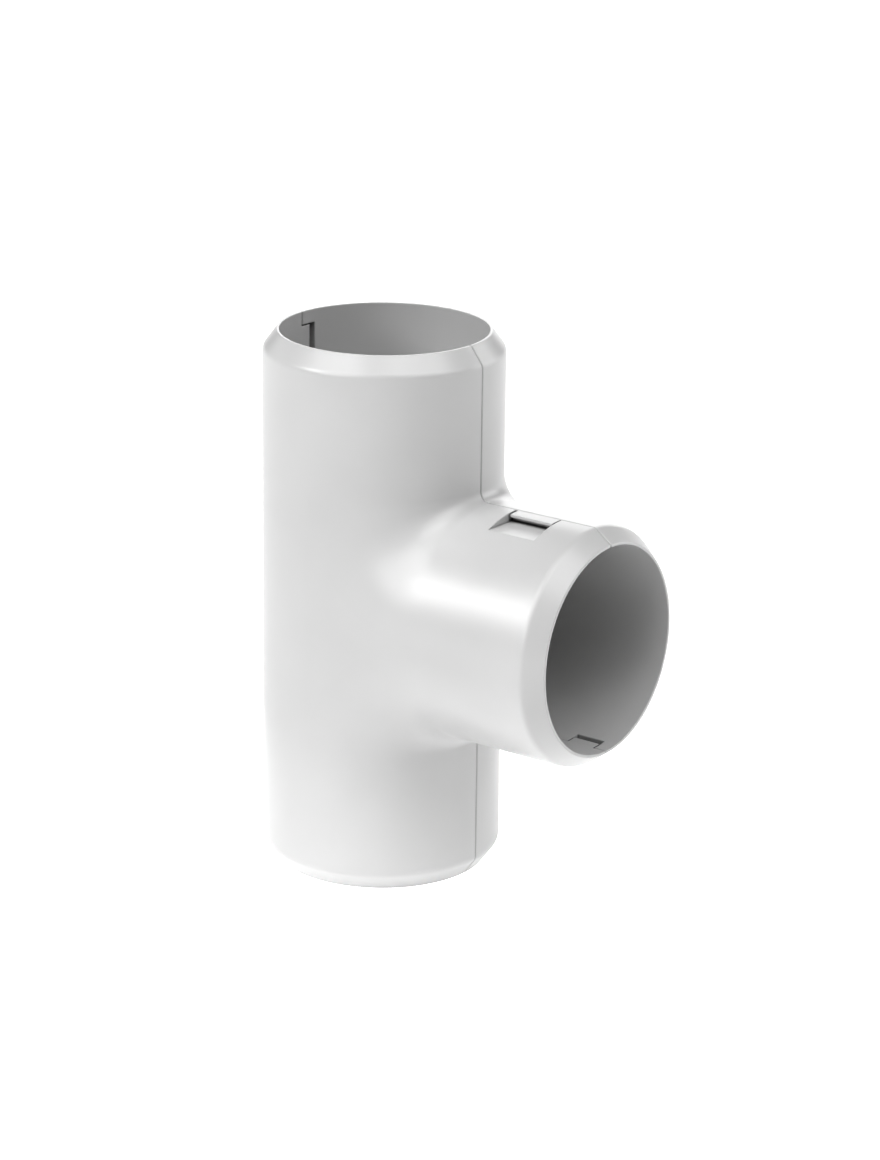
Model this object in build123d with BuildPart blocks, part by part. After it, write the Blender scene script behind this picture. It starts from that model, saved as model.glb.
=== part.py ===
from build123d import *
import os

# Conduit tee, millimetres. Two equal half shells clip together along the plane that holds both
# axes. The run stands on the origin along Z and the branch points along X.

# Conduit and wall
conduit_diameter = 20.0
conduit_clearance = 0.2
wall = 1.6

# Arms
run_length = 54.0
branch_reach = 27.0
crotch_radius = 1.0

# Mouths, with a cone outside, a round where it starts and a narrow flat lip
mouth_chamfer = 1.8
chamfer_round = 1.0
mouth_lip = 0.25

# Parting faces, with a small break along every edge
edge_break = 0.12

# Stops that end the conduits short of the crossing
socket_depth = 15.6
stop_height = 0.8
stop_width = 1.0

# Snap tabs on the outside, reaching across the seam with a hook under the tip
snap_from_mouth = 8.3
tab_width = 4.9
tab_reach = 1.3
tab_drop = 0.05
tab_thickness = 0.5
tip_thickness = 0.28
tip_flat = 0.25
hook_height = 0.27
hook_land = 0.12

# Pockets that the tabs snap into, with a catch ridge along the seam
pocket_side_gap = 0.2
pocket_floor_gap = 0.1
catch_width = 0.55
catch_gap = 0.08

# Tongues on the inside that line up the mouths, and their notches
tongue_from_mouth = 2.9
tongue_width = 2.9
tongue_reach = 1.05
tongue_thickness = 0.7
notch_side_gap = 0.12
notch_depth_gap = 0.1
notch_end_gap = 0.7

bore_radius = conduit_diameter / 2 + conduit_clearance
outer_radius = bore_radius + wall
corner = outer_radius + crotch_radius
lip_radius = bore_radius + mouth_lip
bore_edge = bore_radius + edge_break
branch_height = run_length / 2
branch_axis = Axis((0, 0, branch_height), (1, 0, 0))

# Levels of the snap, measured from the arm's axis
tab_top = outer_radius - tab_drop
tab_under = tab_top - tab_thickness
hook_crest = tab_under - hook_height
pocket_floor = hook_crest - pocket_floor_gap
catch_top = tab_under - catch_gap
hook_face = catch_width + catch_gap
pocket_width = tab_width + 2 * pocket_side_gap
notch_width = tongue_width + 2 * notch_side_gap
root_depth = wall / 2
past = 2 * wall


def clip_planes(from_mouth):
    """Section planes of the clips: X points across the seam and Y outwards from the arm's axis."""
    branch_place = branch_reach - from_mouth
    upper_place = run_length - from_mouth
    male = [
        Plane(origin=(branch_place, 0, branch_height), x_dir=(0, 1, 0), z_dir=(-1, 0, 0)),
        Plane(origin=(0, 0, upper_place), x_dir=(0, 1, 0), z_dir=(0, 0, 1)),
    ]
    female = [
        Plane(origin=(branch_place, 0, branch_height), x_dir=(0, -1, 0), z_dir=(-1, 0, 0)),
        Plane(origin=(0, 0, from_mouth), x_dir=(0, -1, 0), z_dir=(0, 0, -1)),
    ]
    return male, female


tab_planes, pocket_planes = clip_planes(snap_from_mouth)
tongue_planes, notch_planes = clip_planes(tongue_from_mouth)
branch_level = Plane.XZ.offset(-branch_height)

# Mouth planes look into their arms, with X towards the front
mouth_planes = [
    Plane(origin=(0, 0, 0), x_dir=(0, -1, 0), z_dir=(0, 0, 1)),
    Plane(origin=(0, 0, run_length), x_dir=(0, -1, 0), z_dir=(0, 0, -1)),
    Plane(origin=(branch_reach, 0, branch_height), x_dir=(0, -1, 0), z_dir=(-1, 0, 0)),
]


# Outside of the run and of the branch, as profiles to turn
with BuildSketch(Plane.XZ) as run_profile:
    with BuildLine():
        Polyline(
            (0, 0),
            (lip_radius, 0),
            (outer_radius, mouth_chamfer),
            (outer_radius, run_length - mouth_chamfer),
            (lip_radius, run_length),
            (0, run_length),
            close=True,
        )
    make_face()
    fillet(run_profile.vertices().group_by(Axis.X)[-1], radius=chamfer_round)

with BuildSketch(Plane.XZ) as branch_profile:
    with BuildLine():
        Polyline(
            (0, branch_height),
            (0, branch_height + outer_radius),
            (branch_reach - mouth_chamfer, branch_height + outer_radius),
            (branch_reach, branch_height + lip_radius),
            (branch_reach, branch_height),
            close=True,
        )
    make_face()
    fillet(branch_profile.vertices().group_by(Axis.Y)[-1].sort_by(Axis.X)[-1], radius=chamfer_round)

# Outline of the tee in the seam plane, less the break along its edges
with BuildSketch(Plane.XZ) as outline:
    add(run_profile.sketch_local)
    mirror(about=Plane.YZ)
    add(branch_profile.sketch_local)
    mirror(about=branch_level)
    fillet(outline.vertices().sort_by_distance((0, branch_height))[:2], radius=crotch_radius)
    offset(amount=-edge_break, mode=Mode.REPLACE)

# Frame that slopes outwards from the seam plane at 45 degrees
with BuildPart() as seam_frame:
    with BuildSketch(Plane.XZ):
        with Locations((0, branch_height)):
            Rectangle(3 * branch_reach, 2 * run_length)
    extrude(amount=2 * edge_break)
    extrude(outline.sketch, amount=2 * edge_break, taper=-45, mode=Mode.SUBTRACT)


# Where the arms meet, the rounding of each crotch opens out from the seam towards the front
with BuildSketch(Plane.XZ) as junction_area:
    with Locations((0, branch_height)):
        Rectangle(corner, 2 * corner, align=(Align.MIN, Align.CENTER))

with BuildPart() as junction:
    extrude(junction_area.sketch, amount=outer_radius)
    for level in (branch_height - corner, branch_height + corner):
        with BuildSketch(Plane.XY.offset(level)):
            Rectangle(corner, outer_radius + past, align=(Align.MIN, Align.MAX))
            Circle(outer_radius, mode=Mode.SUBTRACT)
        revolve(axis=Axis((corner, 0, level), (0, 1, 0)), mode=Mode.SUBTRACT)


with BuildPart() as front_shell:
    # Front half of the outside, with the junction set in and its seam edges broken
    revolve(run_profile.sketch, axis=Axis.Z)
    revolve(branch_profile.sketch, axis=branch_axis)
    split(bisect_by=Plane.XZ, keep=Keep.TOP)
    extrude(junction_area.sketch, amount=outer_radius + past, mode=Mode.SUBTRACT)
    add(junction.part)
    add(seam_frame.part, mode=Mode.SUBTRACT)

    # Bores of the run and the branch
    with BuildSketch(Plane.XY):
        Circle(bore_radius)
    extrude(amount=run_length, mode=Mode.SUBTRACT)
    with BuildSketch(Plane.YZ):
        with Locations((0, branch_height)):
            Circle(bore_radius)
    extrude(amount=branch_reach, mode=Mode.SUBTRACT)

    # Inner edges of the parting face, broken the same way
    with BuildSketch(Plane.XZ):
        with Locations((0, branch_height)):
            Rectangle(2 * bore_edge, run_length + 2 * wall)
            Rectangle(branch_reach + wall, 2 * bore_edge, align=(Align.MIN, Align.CENTER))
    extrude(amount=2 * edge_break, taper=45, mode=Mode.SUBTRACT)

    # Half rings that stop the conduits
    for mouth in mouth_planes:
        with BuildSketch(mouth.offset(socket_depth)):
            Circle(bore_radius + root_depth)
            Circle(bore_radius - stop_height, mode=Mode.SUBTRACT)
            Rectangle(
                outer_radius,
                2 * outer_radius,
                align=(Align.MIN, Align.CENTER),
                mode=Mode.INTERSECT,
            )
        extrude(amount=stop_width)

    # Pockets, with a catch next to the seam and a flat floor that runs out through the wall
    for plane in pocket_planes:
        with BuildSketch(plane.offset(-pocket_width / 2)):
            with BuildLine():
                Polyline(
                    (0, catch_top),
                    (catch_width, catch_top),
                    (catch_width, pocket_floor),
                    (outer_radius, pocket_floor),
                    (outer_radius, outer_radius + past),
                    (0, outer_radius + past),
                    close=True,
                )
            make_face()
        extrude(amount=pocket_width, mode=Mode.SUBTRACT)

    # Snap tabs, hooked underneath and flush with the outside
    tip_under = (tab_top**2 - tab_reach**2) ** 0.5 - tip_thickness
    for plane in tab_planes:
        with BuildSketch(plane.offset(-tab_width / 2)):
            with BuildLine():
                Polyline(
                    (-root_depth, tab_under),
                    (hook_face, tab_under),
                    (hook_face, hook_crest),
                    (hook_face + hook_land, hook_crest),
                    (tab_reach - tip_flat, tip_under),
                    (tab_reach, tip_under),
                    (tab_reach, outer_radius + past),
                    (-root_depth, outer_radius + past),
                    close=True,
                )
            make_face()
            Circle(tab_top, mode=Mode.INTERSECT)
        extrude(amount=tab_width)

    # Notches for the other half's tongues
    for plane in notch_planes:
        with BuildSketch(plane.offset(-notch_width / 2)):
            Circle(bore_radius + tongue_thickness + notch_depth_gap)
            Rectangle(
                tongue_reach + notch_end_gap,
                outer_radius,
                align=Align.MIN,
                mode=Mode.INTERSECT,
            )
        extrude(amount=notch_width, mode=Mode.SUBTRACT)

    # Tongues, flush with the bore
    for plane in tongue_planes:
        with BuildSketch(plane.offset(-tongue_width / 2)):
            Circle(bore_radius + tongue_thickness)
            Circle(bore_radius, mode=Mode.SUBTRACT)
            with Locations((-root_depth, 0)):
                Rectangle(
                    root_depth + tongue_reach,
                    outer_radius,
                    align=Align.MIN,
                    mode=Mode.INTERSECT,
                )
        extrude(amount=tongue_width)


# The rear half is the same moulding, turned half a turn about the branch axis
with BuildPart() as rear_shell:
    add(front_shell.part.rotate(branch_axis, 180))


front_shell.part.label = "front_shell"
rear_shell.part.label = "rear_shell"

os.makedirs("parts", exist_ok=True)
export_step(front_shell.part, "parts/front_shell.step")
export_step(rear_shell.part, "parts/rear_shell.step")
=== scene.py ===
import math
import bpy
from mathutils import Matrix, Vector

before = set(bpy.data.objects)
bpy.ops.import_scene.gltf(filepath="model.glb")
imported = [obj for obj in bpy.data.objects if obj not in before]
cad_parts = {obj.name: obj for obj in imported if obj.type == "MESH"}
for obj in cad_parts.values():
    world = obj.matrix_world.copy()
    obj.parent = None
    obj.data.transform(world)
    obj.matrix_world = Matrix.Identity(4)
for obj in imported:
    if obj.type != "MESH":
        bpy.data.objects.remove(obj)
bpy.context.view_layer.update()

# Both half shells are injection moulded in one grade of rigid light grey PVC, and clip together
# with no glue or screws. The tool is fine polished steel, so the skin comes out as an even satin
# with a faint orange peel, and the colour drifts a little where the melt has flowed.


def linear(code):
    """Turn an sRGB hex value such as "#c8c9c9" to the linear colour that a shader takes."""
    parts = [int(code[i : i + 2], 16) / 255 for i in (1, 3, 5)]
    return [p / 12.92 if p <= 0.04045 else ((p + 0.055) / 1.055) ** 2.4 for p in parts] + [1.0]


def node(tree, kind, links=(), **settings):
    """Add a shader node. Settings are the values of its sockets and its own properties, and each
    link names the node that feeds it, that node's output and the socket that takes it."""
    made = tree.nodes.new("ShaderNode" + kind)
    for name, value in settings.items():
        if name in made.inputs:
            made.inputs[name].default_value = value
        else:
            setattr(made, name, value)
    for source, output, socket in links:
        tree.links.new(source.outputs[output], made.inputs[socket])
    return made


grey_pvc_skin = "#b5b5b5"
grey_pvc_pale = "#b9b9b9"
satin_roughness = 0.3
roughness_drift = 0.04
pvc_ior = 1.53

# Real sizes of the patterns, in metres. The grain that polishing leaves is finer than this, and
# is drawn as coarse as it needs to be to show.
flow_size = 14e-3
peel_size = 0.9e-3
grain_size = 0.12e-3
relief_height = 0.004e-3
peel_strength = 0.25
grain_strength = 0.15
flow_low, flow_high = 0.35, 0.65

# Moulded edges are slightly round. Where two faces come closer than the reach, as in the seam
# and round the tabs and tongues, shade is painted into the plastic's colour: it is darkened
# there to stand in for the light that gets lost in the gap.
edge_round = 0.16e-3
gap_reach = 0.5e-3
gap_shut, gap_open = 0.35, 0.68
painted_gap_shade = "#666666"
unshaded_white = "#ffffff"

grey_pvc = bpy.data.materials.new("grey_pvc_satin_moulded")
grey_pvc.use_nodes = True
tree = grey_pvc.node_tree
tree.nodes.clear()
place = [(node(tree, "TexCoord"), "Object", "Vector")]
flow = node(tree, "TexNoise", place, Scale=1 / flow_size, Detail=2.0, Roughness=0.5)
peel = node(tree, "TexNoise", place, Scale=1 / peel_size, Detail=3.0, Roughness=0.6)
grain = node(tree, "TexNoise", place, Scale=1 / grain_size, Detail=2.0, Roughness=0.7)

tint = node(tree, "ValToRGB", [(flow, "Fac", "Fac")])
# Painted shade: how closed in a point is sets how much its colour is darkened, through this
# ramp.
closeness = node(tree, "AmbientOcclusion", samples=8, Distance=gap_reach)
shade = node(tree, "ValToRGB", [(closeness, "AO", "Fac")])
for ramp, stops in (
    (tint, ((flow_low, grey_pvc_skin), (flow_high, grey_pvc_pale))),
    (shade, ((gap_shut, painted_gap_shade), (gap_open, unshaded_white))),
):
    for stop, (position, code) in zip(ramp.color_ramp.elements, stops):
        stop.position = position
        stop.color = linear(code)

# The painted gap shade is multiplied into the plastic's colour here. A Mix node has its colours
# in sockets 6 and 7, and gives the mixed colour as output 2.
colour = node(
    tree,
    "Mix",
    [(tint, "Color", 6), (shade, "Color", 7)],
    data_type="RGBA",
    blend_type="MULTIPLY",
    Factor=1.0,
)
sheen = node(
    tree,
    "MapRange",
    [(grain, "Fac", "Value")],
    **{"To Min": satin_roughness - roughness_drift, "To Max": satin_roughness + roughness_drift},
)
edges = node(tree, "Bevel", samples=6, Radius=edge_round)
dimple = node(
    tree,
    "Bump",
    [(peel, "Fac", "Height"), (edges, "Normal", "Normal")],
    Strength=peel_strength,
    Distance=relief_height,
)
tooth = node(
    tree,
    "Bump",
    [(grain, "Fac", "Height"), (dimple, "Normal", "Normal")],
    Strength=grain_strength,
    Distance=relief_height,
)
plastic = node(
    tree,
    "BsdfPrincipled",
    [(colour, 2, "Base Color"), (sheen, "Result", "Roughness"), (tooth, "Normal", "Normal")],
    IOR=pvc_ior,
)
node(tree, "OutputMaterial", [(plastic, "BSDF", "Surface")])

for shell in ("front_shell", "rear_shell"):
    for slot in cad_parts[shell].material_slots:
        slot.material = grey_pvc

# The studio floor is one wide sheet of pale matt board, which reaches past the view on every
# side. Under the tee a soft round light panel shines through it and lights the undersides. The
# board stops none of the lamps, so no dark line shows where the tee stands on it.
board_width = 6.0
board_white = "#f4f4f4"
board_roughness = 0.9
board_glow = 0.12
panel_glow = 0.7
panel_radius = 0.04
panel_edge = 0.008

pale_board = bpy.data.materials.new("pale_matt_board")
pale_board.use_nodes = True
tree = pale_board.node_tree
tree.nodes.clear()
place = [(node(tree, "TexCoord"), "Object", "Vector")]
away = node(tree, "VectorMath", place, operation="LENGTH")
glow = node(
    tree,
    "MapRange",
    [(away, "Value", "Value")],
    interpolation_type="SMOOTHSTEP",
    **{
        "From Min": panel_radius - panel_edge,
        "From Max": panel_radius + panel_edge,
        "To Min": panel_glow,
        "To Max": board_glow,
    },
)
matt = node(
    tree,
    "BsdfPrincipled",
    [(glow, "Result", "Emission Strength")],
    Roughness=board_roughness,
    **{"Base Color": linear(board_white), "Emission Color": linear("#ffffff")},
)
node(tree, "OutputMaterial", [(matt, "BSDF", "Surface")])

bpy.ops.mesh.primitive_plane_add(size=board_width)
board = bpy.context.object
board.name = "board"
board.data.materials.append(pale_board)
board.visible_shadow = False

# Large soft diffusers stand round the small product table. The strongest is at the front, left
# of the middle, and the next looks down on the branch. Low ones from behind lift the outlines,
# and the side that the branch's mouth faces gets little. Angles are in degrees.
diffusers = [
    ("front", -18, 36, 50, 2.0),
    ("front_left", -40, 30, 20, 0.68),
    ("left", -90, 8, 30, 0.2),
    ("above", 12, 70, 50, 0.95),
    ("above_branch", 85, 60, 45, 1.35),
    ("right", 105, 35, 30, 0.5),
    ("back_right", 152, 12, 40, 1.0),
    ("back_left", 210, 14, 40, 0.85),
]
for name, azimuth, elevation, spread, strength in diffusers:
    lamp = bpy.data.lights.new(name, "SUN")
    lamp.energy = strength
    lamp.angle = math.radians(spread)
    holder = bpy.data.objects.new(name, lamp)
    holder.rotation_euler = (math.radians(90 - elevation), 0, math.radians(azimuth))
    bpy.context.collection.objects.link(holder)

# The room round the table is nearly dark, and the picture is printed with firm darks.
room_glow = 0.03
print_gamma = 0.8
studio = bpy.data.worlds.new("studio_air")
studio.use_nodes = True
studio.node_tree.nodes["Background"].inputs["Color"].default_value = linear("#ffffff")
studio.node_tree.nodes["Background"].inputs["Strength"].default_value = room_glow
bpy.context.scene.world = studio
bpy.context.scene.view_settings.view_transform = "Standard"
bpy.context.scene.view_settings.gamma = print_gamma

# The camera, where the photograph was taken from: a long lens at about 0.38 m, a little above
# the tee and to the right of its front, and turned about the view by under a degree.
camera_azimuth = math.radians(36.752)
camera_elevation = math.radians(18.185)
camera_roll = math.radians(0.658)
camera_distance = 0.3756
camera_lens = 118.07
frame_height = 36.0
nearest, farthest = 0.01, 20
off_centre_right = 5.637e-3
off_centre_up = 1.354e-3
crossing = Vector((0, 0, 0.027))

back = Vector(
    (
        math.sin(camera_azimuth) * math.cos(camera_elevation),
        -math.cos(camera_azimuth) * math.cos(camera_elevation),
        math.sin(camera_elevation),
    )
)
level = Vector((math.cos(camera_azimuth), math.sin(camera_azimuth), 0))
upright = back.cross(level)
right = math.cos(camera_roll) * level + math.sin(camera_roll) * upright
up = -math.sin(camera_roll) * level + math.cos(camera_roll) * upright
eye = crossing + back * camera_distance + right * off_centre_right + up * off_centre_up

lens = bpy.data.cameras.new("camera")
lens.sensor_fit = "VERTICAL"
lens.sensor_height = frame_height
lens.lens = camera_lens
lens.clip_start = nearest
lens.clip_end = farthest
camera = bpy.data.objects.new("camera", lens)
turn = Matrix((right, up, back)).transposed().to_4x4()
camera.matrix_world = Matrix.Translation(eye) @ turn
bpy.context.collection.objects.link(camera)
bpy.context.scene.camera = camera
